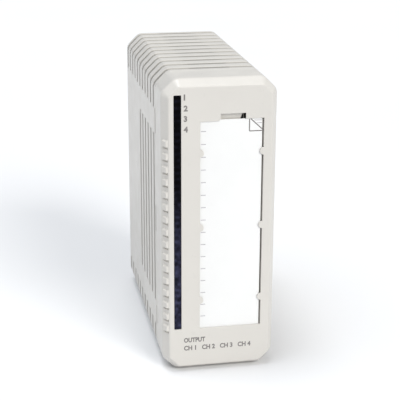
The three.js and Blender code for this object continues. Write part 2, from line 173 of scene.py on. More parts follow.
def skin(y, outer, holes=()):
    """The flat area at depth y inside the outer loop and outside the holes, as triangles."""
    loops = [outer, *holes]
    edges = []
    start = 0
    for loop in loops:
        numbers = np.arange(len(loop))
        edges += (np.stack([numbers, (numbers + 1) % len(loop)], axis=1) + start).tolist()
        start += len(loop)
    made = delaunay_2d_cdt([Vector(p) for p in np.vstack(loops).tolist()], edges, [], 0, 1e-7)
    flat = np.array([tuple(p) for p in made[0]])
    triangles = np.array(made[2])
    middles = flat[triangles].mean(axis=1)
    keep = inside(middles, outer)
    for hole in holes:
        keep &= ~inside(middles, hole)
    points = np.column_stack([flat[:, 0], np.full(len(flat), y), flat[:, 1]])
    return points, triangles[keep]


def moved_in(loop, by):
    """An anticlockwise loop moved inwards: each corner goes along its bisector."""
    before = loop - np.roll(loop, 1, axis=0)
    after = np.roll(loop, -1, axis=0) - loop
    before /= np.linalg.norm(before, axis=1, keepdims=True)
    after /= np.linalg.norm(after, axis=1, keepdims=True)
    left_before = np.column_stack([-before[:, 1], before[:, 0]])
    left_after = np.column_stack([-after[:, 1], after[:, 0]])
    spread = 1 + (left_before * left_after).sum(axis=1, keepdims=True)
    return loop + by * (left_before + left_after) / spread


def rounding(radius, steps=3):
    """A quarter round as (distance in, depth) pairs: it starts on the flat and ends on the wall."""
    angle = np.linspace(0, math.pi / 2, steps + 1)
    return radius * np.column_stack([1 - np.sin(angle), 1 - np.cos(angle)])


def at_depth(loop, y):
    """A loop of (x, z) pairs as (x, y, z) points."""
    return np.column_stack([loop[:, 0], np.full(len(loop), y), loop[:, 1]])


def carried(loop, profile, y, way=1):
    """A loop carried along (distance in, depth) pairs from y, towards +Y if way is 1."""
    rings = [at_depth(moved_in(loop, inset), y + way * depth) for inset, depth in profile]
    return grid_surface(np.stack(rings, axis=1), closed_rows=True)


def slab(outer, y, edge, holes=(), pockets=(), hole_edge=0.1):
    """A plate from y[0] to y[1]: two skins, a rim rolled at both ends, holes through it,
    and pockets of (loop, depth) sunk into the face at y[0]."""
    way = 1 if y[1] > y[0] else -1
    thickness = abs(y[1] - y[0])
    turn = rounding(edge)
    rim = np.vstack([turn, np.column_stack([turn[::-1, 0], thickness - turn[::-1, 1]])])
    mouth = rounding(hole_edge) * [-1, 1]
    loops = list(holes) + [loop for loop, _ in pockets]
    depths = [thickness] * len(holes) + [depth for _, depth in pockets]
    face = moved_in(outer, edge)
    surfaces = [
        carried(outer, rim, y[0], way),
        skin(y[0], face, [moved_in(loop, -hole_edge) for loop in loops]),
        skin(y[1], face, holes),
    ]
    surfaces += [
        carried(loop, np.vstack([mouth, [[0, depth]]]), y[0], way)
        for loop, depth in zip(loops, depths)
    ]
    surfaces += [skin(y[0] + way * depth, loop) for loop, depth in pockets]
    return surfaces


def rectangle(x, z, radius=0.0, steps=4):
    """A rectangle as an anticlockwise loop, its corners turned with a radius."""
    corners = np.array([[x[0], z[0]], [x[1], z[0]], [x[1], z[1]], [x[0], z[1]]], float)
    if not radius:
        return corners
    angle = np.radians(np.linspace(180, 270, steps + 1) + np.arange(4)[:, None] * 90)
    arc = radius * np.stack([np.cos(angle), np.sin(angle)], axis=-1)
    centres = corners + radius * np.array([[1, 1], [-1, 1], [-1, -1], [1, -1]])
    return (centres[:, None] + arc).reshape(-1, 2)


def circle(x, z, radius, steps=48):
    """A round loop, anticlockwise."""
    angle = np.linspace(0, 2 * math.pi, steps, endpoint=False)
    return np.array([x, z]) + radius * np.column_stack([np.cos(angle), np.sin(angle)])


# %% [markdown]
# ## Finishes
# Every finish is made of shader nodes on Object coordinates, so no picture is needed and the
# grain has a true size. One recipe serves them all: a soft cloudy noise shifts the colour a
# little, a fine noise breaks up the gloss and makes the grain by bump, and a third, stretched
# by a threshold, lays faint handling marks. What differs is the scale and the strength.

# %% Small helpers for shader nodes
def node_math(tree, operation, a, b=0.0):
    """A Math node: each input is a number or the output of another node."""
    node = tree.nodes.new("ShaderNodeMath")
    node.operation = operation
    for socket, value in zip(node.inputs, (a, b)):
        if isinstance(value, (int, float)):
            socket.default_value = value
        else:
            tree.links.new(value, socket)
    return node.outputs["Value"]


def node_range(tree, value, start, end, low=0.0, high=1.0):
    """A Map Range node: a value from start to end becomes one from low to high."""
    node = tree.nodes.new("ShaderNodeMapRange")
    ends = {"From Min": start, "From Max": end, "To Min": low, "To Max": high}
    for socket, number in ends.items():
        node.inputs[socket].default_value = number
    tree.links.new(value, node.inputs["Value"])
    return node.outputs["Result"]


def node_noise(tree, place, size, detail):
    """Soft noise with blobs of about size millimetres."""
    node = tree.nodes.new("ShaderNodeTexNoise")
    node.inputs["Scale"].default_value = 1 / (size * MM)
    node.inputs["Detail"].default_value = detail
    tree.links.new(place, node.inputs["Vector"])
    return node.outputs["Fac"]


print("node helpers ready")

# %% A recipe for finishes
GRAIN_HEIGHT = 0.05 * MM
NOISE_LOW, NOISE_HIGH = 0.3, 0.7
SCUFF_SIZE, SCUFF_FROM, SCUFF_TO = 0.35, 0.28, 0.36


def finish(name, colour, roughness, metallic=0.0, grain=0.3, bump=0.2, cloud=12.0,
           shade=0.04, gloss_change=0.08, marks=0.03, specular=0.5, painted_shade=0.0):
    """A material with cloudy colour, grainy gloss, bump and faint marks.

    grain and cloud are the sizes of the fine and the soft noise in millimetres. The colour is
    multiplied by 1 plus or minus shade, and the roughness varies by gloss_change. With hollow,
    the colour loses up to that share where the mesh attribute "inside" rises to 1."""
    material = bpy.data.materials.new(name)
    material.use_nodes = True
    tree = material.node_tree
    shader = tree.nodes["Principled BSDF"]
    shader.inputs["Metallic"].default_value = metallic
    shader.inputs["Specular IOR Level"].default_value = specular
    place = tree.nodes.new("ShaderNodeTexCoord").outputs["Object"]

    cloudy = node_noise(tree, place, cloud, 3)
    scuffs = node_noise(tree, place, cloud * SCUFF_SIZE, 6)
    tone = node_math(
        tree, "MULTIPLY", node_range(tree, cloudy, NOISE_LOW, NOISE_HIGH, 1 - shade, 1 + shade),
        node_range(tree, scuffs, SCUFF_FROM, SCUFF_TO, 1 - marks, 1.0),
    )
    # Painted shade: the colour darkens where the attribute inside rises, towards the inner face of a
    # wall.
    if painted_shade:
        shade_depth_node = tree.nodes.new("ShaderNodeAttribute")
        shade_depth_node.attribute_name = "inside"
        painted_shade_factor = node_range(tree, shade_depth_node.outputs["Fac"], 0, 1, 1, 1 - painted_shade)
        tone = node_math(tree, "MULTIPLY", tone, painted_shade_factor)
    scaled = tree.nodes.new("ShaderNodeVectorMath")
    scaled.operation = "SCALE"
    scaled.inputs[0].default_value = colour
    tree.links.new(tone, scaled.inputs["Scale"])
    tree.links.new(scaled.outputs["Vector"], shader.inputs["Base Color"])

    fine = node_noise(tree, place, grain, 2)
    gloss = node_range(tree, node_noise(tree, place, cloud * 0.5, 4), NOISE_LOW, NOISE_HIGH,
                       roughness - gloss_change, roughness + gloss_change)
    fine_gloss = node_range(tree, fine, NOISE_LOW, NOISE_HIGH, 0.96, 1.04)
    tree.links.new(node_math(tree, "MULTIPLY", gloss, fine_gloss), shader.inputs["Roughness"])
    relief = tree.nodes.new("ShaderNodeBump")
    relief.inputs["Strength"].default_value = bump
    relief.inputs["Distance"].default_value = GRAIN_HEIGHT
    tree.links.new(fine, relief.inputs["Height"])
    tree.links.new(relief.outputs["Normal"], shader.inputs["Normal"])
    return material


MOULDED = {"colour": (0.68, 0.655, 0.612), "roughness": 0.36, "grain": 0.35, "bump": 0.25,
           "shade": 0.012}
CASE = finish("case plastic", **MOULDED)
# The sleeve's plastic gets painted shade, darker in its slots and towards the inner face of its wall.
SLEEVE = finish("sleeve plastic", **MOULDED, painted_shade=0.95)
CARD = finish("coated card", (0.88, 0.88, 0.87), 0.5, grain=0.12, bump=0.12, shade=0.01, marks=0.01)
INK = finish("grey ink", (0.20, 0.185, 0.18), 0.6, grain=0.1, cloud=3.0, shade=0.15)
PALE_INK = finish("pale ink", (0.40, 0.375, 0.41), 0.6, grain=0.1, cloud=3.0, shade=0.12)
CONNECTOR = finish("connector resin", (0.018, 0.019, 0.021), 0.45, grain=0.25, bump=0.3)
CONTACT = finish("gilded contact", (0.83, 0.62, 0.28), 0.25, 1.0, grain=0.15, bump=0.1)
BOARD = finish("board lacquer", (0.02, 0.115, 0.045), 0.3, grain=0.5, cloud=8.0, shade=0.12)
CHIP = finish("moulded resin", (0.018, 0.018, 0.019), 0.55, grain=0.2, bump=0.3)
FERRITE = finish("sintered ferrite", (0.06, 0.057, 0.054), 0.75, grain=0.4, bump=0.5, shade=0.1)
CAN = finish("aluminium can", (0.72, 0.73, 0.75), 0.3, 1.0, grain=0.2, bump=0.1)
STEEL = finish("plated steel", (0.62, 0.63, 0.65), 0.32, 1.0, grain=0.2, bump=0.15)
BRASS = finish("nickelled brass", (0.66, 0.56, 0.33), 0.3, 1.0, grain=0.3, bump=0.1)
KEY = finish("key resin", (0.11, 0.12, 0.13), 0.5, grain=0.3, bump=0.25)
GUIDE = finish("clear guide", (0.62, 0.66, 0.7), 0.2, grain=0.6, bump=0.05)
LAMP = finish("lamp resin", (0.72, 0.76, 0.68), 0.2, grain=0.6, bump=0.05)
print(len(bpy.data.materials), "materials")

# %% [markdown]
# ## The outline of the case
# The case is a tall box whose four long edges are cut off at 45 degrees, with every corner
# slightly rounded. One function gives this outline moved inwards by any distance, always with
# the same number of points, so outlines at different insets can be joined point by point.

# %% The case outline
ARC_STEPS = 4


def case_loop(inset, side_levels=(), top_levels=()):
    """The outline moved in by inset, anticlockwise from the foot of the right side.

    Corner k is an arc about a point on the smaller octagon that lies one radius further in;
    its normals turn from 45 k - 90 degrees on by 45. Between the arcs the long sides get a
    point at each side level and the top and the bottom one at each top level."""
    radius = max(CORNER_RADIUS - inset, INNER_RADIUS)
    deep = inset + radius
    x, low, high = HALF_WIDTH - deep, deep, HEIGHT - deep
    c = CHAMFER - deep * (2 - math.sqrt(2))
    centres = np.array([
        [x - c, low], [x, low + c], [x, high - c], [x - c, high],
        [c - x, high], [-x, high - c], [-x, low + c], [c - x, low],
    ])
    turn = np.linspace(0, 45, ARC_STEPS + 1) + np.arange(8)[:, None] * 45 - 90
    turn = np.radians(turn)
    arcs = centres[:, None] + radius * np.stack([np.cos(turn), np.sin(turn)], axis=-1)
    side, top = np.asarray(side_levels, float), np.asarray(top_levels, float)
    right = np.column_stack([np.full(len(side), HALF_WIDTH - inset), side])
    left = np.column_stack([np.full(len(side), inset - HALF_WIDTH), side[::-1]])
    over = np.column_stack([top[::-1], np.full(len(top), HEIGHT - inset)])
    under = np.column_stack([top, np.full(len(top), inset)])
    empty = np.zeros((0, 2))
    between = [empty, right, empty, over, empty, left, empty, under]
    return np.vstack([part for k in range(8) for part in (arcs[k], between[k])])


print("the outline has", len(case_loop(0)), "points")

# %% [markdown]
# ## The front cover
# The cover is a shallow moulded tray. Its edge slopes in towards the face all round, and the
# left slope carries a row of raised bars for the fingers. It could be modelled as a box with
# bevels, but the bars need rows of points at exact heights. So the whole cross-section of the
# wall, outside and inside, is a profile carried round the case outline, and the bars lift the
# points of the slope outwards.

# %% Profile of the cover's wall
BEVEL_DEPTH, BEVEL_INSET = 4.0, 2.45
FACE_EDGE = 0.45
SKIN = 2.0
SEAM_DEPTH = SEAM_Y - FRONT_Y
LIP_END = cover_high[1] - FRONT_Y
LIP_FROM = SEAM_DEPTH - 4.5
LIP_OUTER, LIP_INNER = WALL + 0.15, WALL + 1.1
LIP_CHAMFER = 0.2
SEAM_ROUND, EDGE_ROUND = 0.25, 0.7
EDGE_REACH = 0.57


def eased(points, reach, steps=3):
    """A polyline whose inner corners become quadratic curves that begin reach before each one."""
    points = np.asarray(points, float)
    made = [points[:1]]
    for before, corner, after, r in zip(points, points[1:], points[2:], reach):
        enter = corner + r * (before - corner) / np.linalg.norm(before - corner)
        leave = corner + r * (after - corner) / np.linalg.norm(after - corner)
        t = np.linspace(0, 1, steps + 1)[:, None]
        made.append((1 - t) ** 2 * enter + 2 * t * (1 - t) * corner + t * t * leave)
    return np.vstack(made + [points[-1:]])


hidden_side = np.array([
    [WALL + 1.0, SKIN], [WALL, BEVEL_DEPTH + 0.6], [WALL, LIP_FROM], [LIP_INNER, LIP_FROM],
    [LIP_INNER, LIP_END], [LIP_OUTER + LIP_CHAMFER, LIP_END], [LIP_OUTER, LIP_END - LIP_CHAMFER],
])
shown_side = eased(
    [[LIP_OUTER, SEAM_DEPTH], [0, SEAM_DEPTH], [0, BEVEL_DEPTH], [BEVEL_INSET, 0],
     [BEVEL_INSET + FACE_EDGE + 0.02, 0]],
    [SEAM_ROUND, EDGE_ROUND, FACE_EDGE],
)
print(len(hidden_side), "hidden and", len(shown_side), "shown points in the profile")

# %% [markdown]
# The bars stop short of the corners of the case. Each starts with a ramp at its upper end, is
# flat on top, and drops at its lower end into a narrow groove, which gives the fingers a hold
# and a dark line. It fades out towards both edges of the slope. The lift of a point is
# therefore a product: how far up the bar it is, times how far across the slope.

# %% Grip bars
BARS, BAR_PITCH, BAR_HEIGHT, BAR_TOP, BAR_RISE = 16, 5.05, 2.8, 96.2, 0.75
UPPER_RAMP, LOWER_RAMP, GROOVE_WIDTH, GROOVE_RAMP, GROOVE_LIFT = 0.5, 0.25, 0.6, 0.2, -0.6
BAR_CORNERS = np.cumsum([
    0, UPPER_RAMP, BAR_HEIGHT - UPPER_RAMP - LOWER_RAMP, LOWER_RAMP, GROOVE_WIDTH, GROOVE_RAMP,
])
BAR_LIFTS = np.array([0, 1, 1, GROOVE_LIFT, GROOVE_LIFT, 0])
SLOPE_STEPS = 8

bar_tops = BAR_TOP - BAR_PITCH * np.arange(BARS)
bar_levels = np.sort((bar_tops[:, None] - BAR_CORNERS).ravel())


def bar_lift(z):
    """1 on top of a bar, below 0 in its groove, 0 between bars: straight lines between corners."""
    below_top = (BAR_TOP - z + 1e-6) % BAR_PITCH
    lift = np.interp(below_top, BAR_CORNERS, BAR_LIFTS)
    return lift * (z < BAR_TOP + 0.1) * (z > bar_levels[0] - 0.1)


def across_lift(t):
    """0 at both edges of the slope and 1 between, with a short ramp at each edge."""
    return np.clip(np.minimum(4 * t, 10 * (1 - t)), 0, 1)


FACE_POINTS = 4
slope_from = int(np.argmin(np.abs(shown_side[:, 1] - BEVEL_DEPTH + EDGE_REACH)))
slope_to = len(shown_side) - 1 - FACE_POINTS
share = np.linspace(0, 1, SLOPE_STEPS + 1)
slope_points = shown_side[slope_from] + share[:, None] * (
    shown_side[slope_to] - shown_side[slope_from]
)
cover_profile = np.vstack([
    hidden_side, shown_side[:slope_from], slope_points, shown_side[slope_to + 1:],
])
lift_across = np.concatenate([
    np.zeros(len(hidden_side) + slope_from), across_lift(share), np.zeros(FACE_POINTS),
])
print("bars from", bar_levels[0], "to", bar_levels[-1], "on", SLOPE_STEPS, "steps of the slope")

# %% Outer and inner wall of the cover
rings = np.stack([
    at_depth(case_loop(inset, bar_levels), FRONT_Y + depth) for inset, depth in cover_profile
], axis=1)
lift = BAR_RISE * bar_lift(rings[:, :, 2]) * lift_across * (rings[:, :, 0] < 0)
slope_length = math.hypot(BEVEL_DEPTH, BEVEL_INSET)
rings[:, :, 0] -= lift * BEVEL_DEPTH / slope_length
rings[:, :, 1] -= lift * BEVEL_INSET / slope_length
cover_wall = grid_surface(rings, closed_rows=True)
print("greatest lift", round(float(lift.max()), 2), "mm")

# %% [markdown]
# The face of the cover has a narrow slot for the lamp window and a wide pocket for the label
# card. The pocket's front skin is only half a millimetre thick: the card slides behind it at
# the ends, and half-round tabs of the same skin hold its long edges. A nail notch above the
# card ends in a small hole, and a thin slit runs down beside the card.

# %% Loops of the openings
WINDOW_X, WINDOW_Z = (-18.15, -15.25), (18.5, 113.4)
POCKET_X, POCKET_Z, STEP_X, STEP_TOP = (-8.0, 16.7), (18.3, 102.9), -0.6, 103.5
POCKET_SKIN, POCKET_FLOOR, TRAY_FLOOR = 0.5, 1.1, 1.7
NOTCH_X, NOTCH_TOP, NOTCH_HOLE_X = (-0.1, 9.6), 105.7, 8.3
TAB_RADIUS, TAB_LEVELS = 1.5, np.array([30.3, 60.6, 90.5])
SLIT_X, SLIT_Z = (16.3, 16.66), (18.9, 103.3)
SLIDE_X, SLIDE_Z = (-8.2, 16.78), (16.7, 105.8)
WINDOW_CORNER = 0.35


def tab_arcs(x, levels, way):
    """Half circles that bulge into the pocket from the edge x: way is 1 going up, -1 going down."""
    angle = np.linspace(-math.pi / 2, math.pi / 2, 15)
    arc = TAB_RADIUS * way * np.column_stack([-np.cos(angle), np.sin(angle)])
    centres = np.column_stack([np.full(len(levels), x), levels])
    return (centres[:, None] + arc).reshape(-1, 2)


pocket_loop = np.vstack([
    [[POCKET_X[0], POCKET_Z[0]], [POCKET_X[1], POCKET_Z[0]]],
    tab_arcs(POCKET_X[1], TAB_LEVELS, 1),
    [[POCKET_X[1], STEP_TOP], [NOTCH_X[1], STEP_TOP], [NOTCH_X[1], NOTCH_TOP],
     [NOTCH_X[0], NOTCH_TOP], [NOTCH_X[0], STEP_TOP], [STEP_X, STEP_TOP],
     [STEP_X, POCKET_Z[1]], [POCKET_X[0], POCKET_Z[1]]],
    tab_arcs(POCKET_X[0], TAB_LEVELS[::-1], -1),
])
window_loop = rectangle(WINDOW_X, WINDOW_Z, WINDOW_CORNER)
slide_loop = rectangle(SLIDE_X, SLIDE_Z)
slit_loop = rectangle(SLIT_X, SLIT_Z)
TRAY_X, TRAY_Z = (NOTCH_X[0] - 0.05, NOTCH_X[1] + 1), (STEP_TOP - 1.1, NOTCH_TOP + 0.05)
HOLE_FOOT, HOLE_HEAD, HOLE_RIGHT = STEP_TOP - 1, NOTCH_TOP, NOTCH_X[1] + 0.9
HOLE_LEFT_AT_FOOT, HOLE_LEFT_AT_HEAD = NOTCH_HOLE_X - 0.9, NOTCH_HOLE_X + 0.4
tray_loop = rectangle(TRAY_X, TRAY_Z)
hole_loop = np.array([[HOLE_LEFT_AT_FOOT, HOLE_FOOT], [HOLE_RIGHT, HOLE_FOOT],
                      [HOLE_RIGHT, HOLE_HEAD], [HOLE_LEFT_AT_HEAD, HOLE_HEAD]])
print("pocket outline of", len(pocket_loop), "points")

# %% [markdown]
# The cover hooks into the sleeve with three flat hooks on each side. They are small solids of
# their own that run into the cover's material.

# %% Skins, walls and hooks of the cover
HOOK_LEVELS = np.array([[13.5, 21.7], [54.1, 64.9], [94.4, 104.3]])
HOOK_DEPTH, HOOK_GAP, HOOK_CORNER = 1.6, 0.3, 0.2
HOOK_REACH = (WALL + 0.6, 1.5)
EDGE = 0.12

mouth = rounding(EDGE) * [-1, 1]
cover_surfaces = [
    cover_wall,
    skin(FRONT_Y, rings[:, -1, ::2], [moved_in(pocket_loop, -EDGE), moved_in(window_loop, -EDGE)]),
    carried(pocket_loop, np.vstack([mouth, [[0, POCKET_SKIN]]]), FRONT_Y),
    skin(FRONT_Y + POCKET_SKIN, slide_loop, [pocket_loop]),
    carried(slide_loop, [[0, POCKET_SKIN], [0, POCKET_FLOOR]], FRONT_Y),
    skin(FRONT_Y + POCKET_FLOOR, slide_loop, [slit_loop, tray_loop]),
    carried(tray_loop, [[0, POCKET_FLOOR], [0, TRAY_FLOOR]], FRONT_Y),
    skin(FRONT_Y + TRAY_FLOOR, tray_loop, [hole_loop]),
    carried(slit_loop, [[0, POCKET_FLOOR], [0, SKIN]], FRONT_Y),
    carried(hole_loop, [[0, TRAY_FLOOR], [0, SKIN]], FRONT_Y),
    carried(window_loop, np.vstack([mouth, [[0, SKIN]]]), FRONT_Y),
    skin(FRONT_Y + SKIN, rings[:, 0, ::2], [window_loop, slit_loop, hole_loop]),
]
for side in (-1, 1):
    hook_x = sorted(side * (HALF_WIDTH - reach) for reach in HOOK_REACH)
    for low, high in HOOK_LEVELS:
        hook_loop = rectangle(hook_x, (low + HOOK_GAP, high - HOOK_GAP), HOOK_CORNER)
        cover_surfaces += slab(hook_loop, (SEAM_Y - 0.5, SEAM_Y + HOOK_DEPTH - 0.1), EDGE)

cover = make_piece(
    "moulded_front_cover", clean_mesh("moulded_front_cover", cover_surfaces), CASE,
    "module", ["front_cover"],
)
even_flats(cover)

# %% [markdown]
# ## The housing sleeve
# The sleeve is a tube with the section of the case. Eleven slots wrap over its top and its
# underside. They are cut right through on the chamfers and in the middle, and between those
# places only a shallow groove is left, so thin bridges hold the ribs together. It could be cut
# with dozens of booleans. Here the wall is a grid of cells round the outline and along the
# depth instead: each cell lies at the surface, at the floor of a groove, or is open. Wherever
# two neighbouring cells differ, a wall joins the two levels.

# %% Cells of the sleeve
SLOTS, SLOT_PITCH, SLOT_WIDTH, FIRST_SLOT_Y = 11, 7.69, 2.9, FRONT_Y + 21.8
UPPER_SLOT_FOOT, LOWER_SLOT_HEAD = 104.0, 12.5
SIDE_SLOTS, SIDE_SLOT_Z = 6, (22.7, 93.9)
OPEN_HALF, GROOVE_DEPTH = 8.0, 0.8
SURFACE, GROOVE, OPEN = 0, 1, 2

sleeve_levels = np.unique([UPPER_SLOT_FOOT, LOWER_SLOT_HEAD, *SIDE_SLOT_Z, *HOOK_LEVELS.ravel()])
slot_middles = FIRST_SLOT_Y + SLOT_PITCH * np.arange(SLOTS)
slot_edges = (slot_middles[:, None] + [-SLOT_WIDTH / 2, SLOT_WIDTH / 2]).ravel()
lines_y = np.concatenate([[SLEEVE_Y[0], SLEEVE_Y[0] + HOOK_DEPTH], slot_edges, [SLEEVE_Y[1]]])

sleeve_loops = np.stack([
    case_loop(depth, sleeve_levels, [-OPEN_HALF, OPEN_HALF]) for depth in (0, GROOVE_DEPTH, WALL)
])
cell_x, cell_z = ((sleeve_loops[0] + np.roll(sleeve_loops[0], -1, axis=0)) / 2).T
cell_y = (lines_y[:-1] + lines_y[1:]) / 2
slot_number = np.full(len(cell_y), -1)
slot_number[2::2][:SLOTS] = np.arange(SLOTS)

on_side = (np.abs(cell_x) > HALF_WIDTH - 0.01)[:, None]
wrapped = ((cell_z > UPPER_SLOT_FOOT) | (cell_z < LOWER_SLOT_HEAD))[:, None]
grooved = (np.abs(cell_x) > OPEN_HALF) & (np.abs(cell_x) < HALF_WIDTH - CHAMFER)
beside = ((cell_z > SIDE_SLOT_Z[0]) & (cell_z < SIDE_SLOT_Z[1]))[:, None] & on_side
above_foot, below_head = cell_z[:, None] > HOOK_LEVELS[:, 0], cell_z[:, None] < HOOK_LEVELS[:, 1]
hooked = (above_foot & below_head).any(axis=1)
in_slot = (slot_number >= 0)[None]

cells = np.zeros((len(cell_x), len(cell_y)), int)
cells[wrapped & in_slot] = OPEN
cells[wrapped & in_slot & grooved[:, None]] = GROOVE
cells[beside & in_slot & (slot_number < SIDE_SLOTS)[None]] = OPEN
cells[hooked & on_side[:, 0], 0] = OPEN
print("cells at the surface, in grooves and open:", np.bincount(cells.ravel()))

# %% Faces of the sleeve
rows, columns = len(cell_x), len(lines_y)
levels = np.arange(3)[:, None, None]
number = (levels * rows + np.arange(rows)[:, None]) * columns + np.arange(columns)
next_row = np.roll(number, -1, axis=1)
sleeve_points = np.stack([
    np.broadcast_to(sleeve_loops[:, :, None, 0], number.shape),
    np.broadcast_to(lines_y, number.shape),
    np.broadcast_to(sleeve_loops[:, :, None, 1], number.shape),
], axis=-1).reshape(-1, 3)


def skin_quads(level, chosen):
    """The quads of the chosen cells at one level of the wall."""
    a, b = number[level][:, :-1], number[level][:, 1:]
    c, d = next_row[level][:, 1:], next_row[level][:, :-1]
    return np.stack([a, b, c, d], axis=-1)[chosen]


def step_quads(level, first, second, differs):
    """Walls from one level to the next where two neighbouring cells lie on its two sides."""
    low, high = number[level], number[level + 1]
    return np.stack([low[first], low[second], high[second], high[first]], axis=-1)[differs]


around_cells = np.pad(cells, ((0, 0), (1, 1)), constant_values=OPEN)
sleeve_faces = [skin_quads(SURFACE, cells == SURFACE), skin_quads(GROOVE, cells == GROOVE)]
sleeve_faces.append(skin_quads(OPEN, cells != OPEN))
for level in (SURFACE, GROOVE):
    above, above_before = cells <= level, np.roll(cells, 1, axis=0) <= level
    sleeve_faces.append(step_quads(level, np.s_[:, :-1], np.s_[:, 1:], above != above_before))
    left, right = around_cells[:, :-1] <= level, around_cells[:, 1:] <= level
    low, high = number[level], number[level + 1]
    low_next, high_next = next_row[level], next_row[level + 1]
    sleeve_faces.append(np.stack([low, low_next, high_next, high], axis=-1)[left != right])
sleeve = (sleeve_points, np.vstack(sleeve_faces))
print(len(sleeve[1]), "quads in the sleeve")

# %% [markdown]
# A Bevel modifier rounds all its edges by the same small radius, because every edge of this
# mesh that turns by more than 40 degrees is an edge of the moulding. Two blocks inside, which
# take the screws of the back plate, are added as slabs. Each point also gets a number called
# inside: 0 on the outer face and 1 at the inner face of the wall. The plastic is darkened with
# it as painted shade, so that the slots and the inner face of the wall look shadowed.

# %% The sleeve
SCREW_X, SCREW_LEVELS = 12.5, (8.5, 110.5)
BOSS_Y = (SLEEVE_Y[1] - 11.1, SLEEVE_Y[1] - 2.1)
BOSS_X, BOSS_BELOW = (SCREW_X - 3.5, SCREW_X + 3.5), 3.2
MOULD_RADIUS = 0.22 * MM
INSIDE_FROM, RIM = 0.1, 0.5

sleeve_surfaces = [sleeve]
for level in SCREW_LEVELS:
    in_upper_half = level > HEIGHT / 2
    boss_z = (level - BOSS_BELOW, HEIGHT - WALL / 2) if in_upper_half else (
        WALL / 2, level + BOSS_BELOW)
    sleeve_surfaces += slab(rectangle(BOSS_X, boss_z), BOSS_Y, 0.2)

housing = make_piece(
    "moulded_housing", clean_mesh("moulded_housing", sleeve_surfaces, 180), SLEEVE,
    "module", ["housing"],
)


def add_painted_shade_depth(mesh):
    """Store how far inside the wall each point lies: its distance to the nearest outer plane.

    The rim at the back counts as outside."""
    places = np.zeros(len(mesh.vertices) * 3)
    mesh.vertices.foreach_get("co", places)
    x, y, z = places.reshape(-1, 3).T / MM
    x = np.abs(x)
    from_side, from_end = HALF_WIDTH - x, np.minimum(z, HEIGHT - z)
    from_chamfer = (from_side + from_end - CHAMFER) / math.sqrt(2)
    nearest = np.minimum(np.minimum(from_side, from_end), from_chamfer)
    share = np.clip((nearest - INSIDE_FROM) / (WALL - INSIDE_FROM), 0, 1)
    share *= y < SLEEVE_Y[1] - RIM
    mesh.attributes.new("inside", "FLOAT", "POINT").data.foreach_set("value", share)


# The stored number sets how much painted shade the sleeve's plastic gets.
add_painted_shade_depth(housing.data)
rounded = housing.modifiers.new("mould radius", "BEVEL")
rounded.width = MOULD_RADIUS
rounded.segments = 2
rounded.limit_method = "ANGLE"
rounded.angle_limit = math.radians(40)
rounded.use_clamp_overlap = False
even_flats(housing)

# %% [markdown]
# ## The back plate
# The back of the case is a separate plate inside the end of the sleeve. It lets the two
# connectors and the coding keys through and is held by two screws in round seats.

# %% Back plate
REAR_Y = SLEEVE_Y[1]
PLATE_INSET, PLATE_THICKNESS = WALL + 0.15, 1.8
KEY_X, KEY_LEVELS, KEY_RADIUS = 8.5, (40.0, 80.0), 4.6
CONNECTOR_GAP, KEY_GAP, SEAT_RADIUS, SEAT_DEPTH = 0.3, 0.15, 3.2, 0.8
connector_boxes = [box_mm(node) for node in ("process_connector", "bus_connector")]

plate_holes = [
    rectangle((low[0] - CONNECTOR_GAP, high[0] + CONNECTOR_GAP),
              (low[2] - CONNECTOR_GAP, high[2] + CONNECTOR_GAP), 0.4)
    for low, high in connector_boxes
] + [circle(KEY_X, z, KEY_RADIUS + KEY_GAP) for z in KEY_LEVELS]
screw_seats = [(circle(SCREW_X, z, SEAT_RADIUS), SEAT_DEPTH) for z in SCREW_LEVELS]
plate_surfaces = slab(
    case_loop(PLATE_INSET), (REAR_Y, REAR_Y - PLATE_THICKNESS), 0.25, plate_holes, screw_seats, 0.15,
)
plate = make_piece(
    "moulded_back_plate", clean_mesh("moulded_back_plate", plate_surfaces), CASE,
    "module", ["rear_cover"],
)
even_flats(plate)

# %% [markdown]
# ## The rear connectors
# Each connector is a block of black resin with two columns of square contact holes. A pair of
# gilded springs grips the pin in each hole. The springs are thin strokes carried along Y.

# %% Connectors and their contacts
HOLE, HOLE_DEPTH, COLUMN_X, END_MARGIN = 1.6, 5.0, 2.4, 6.0
PINS = (20, 8)
SPRING_OFFSET, SPRING_HALF, SPRING_THICKNESS, SPRING_SUNK = 0.5, 0.5, 0.18, 0.7


def strokes(segments, width, y):
    """Solid bars between two depths: each follows a segment (x1, z1, x2, z2) with a given width."""
    segments = np.asarray(segments, float)
    start, end = segments[:, :2], segments[:, 2:]
    along = end - start
    along /= np.linalg.norm(along, axis=1, keepdims=True)
    sideways = np.column_stack([-along[:, 1], along[:, 0]]) * np.reshape(width, (-1, 1)) / 2
    corners = np.stack([start - sideways, end - sideways, end + sideways, start + sideways], axis=1)
    front, back = (np.insert(corners, 1, depth, axis=2) for depth in y)
    points = np.concatenate([front, back], axis=1)
    box = np.array([
        [0, 1, 2, 3], [7, 6, 5, 4], [0, 4, 5, 1], [1, 5, 6, 2], [2, 6, 7, 3], [3, 7, 4, 0],
    ])
    faces = (box + 8 * np.arange(len(points))[:, None, None]).reshape(-1, 4)
    return points.reshape(-1, 3), faces


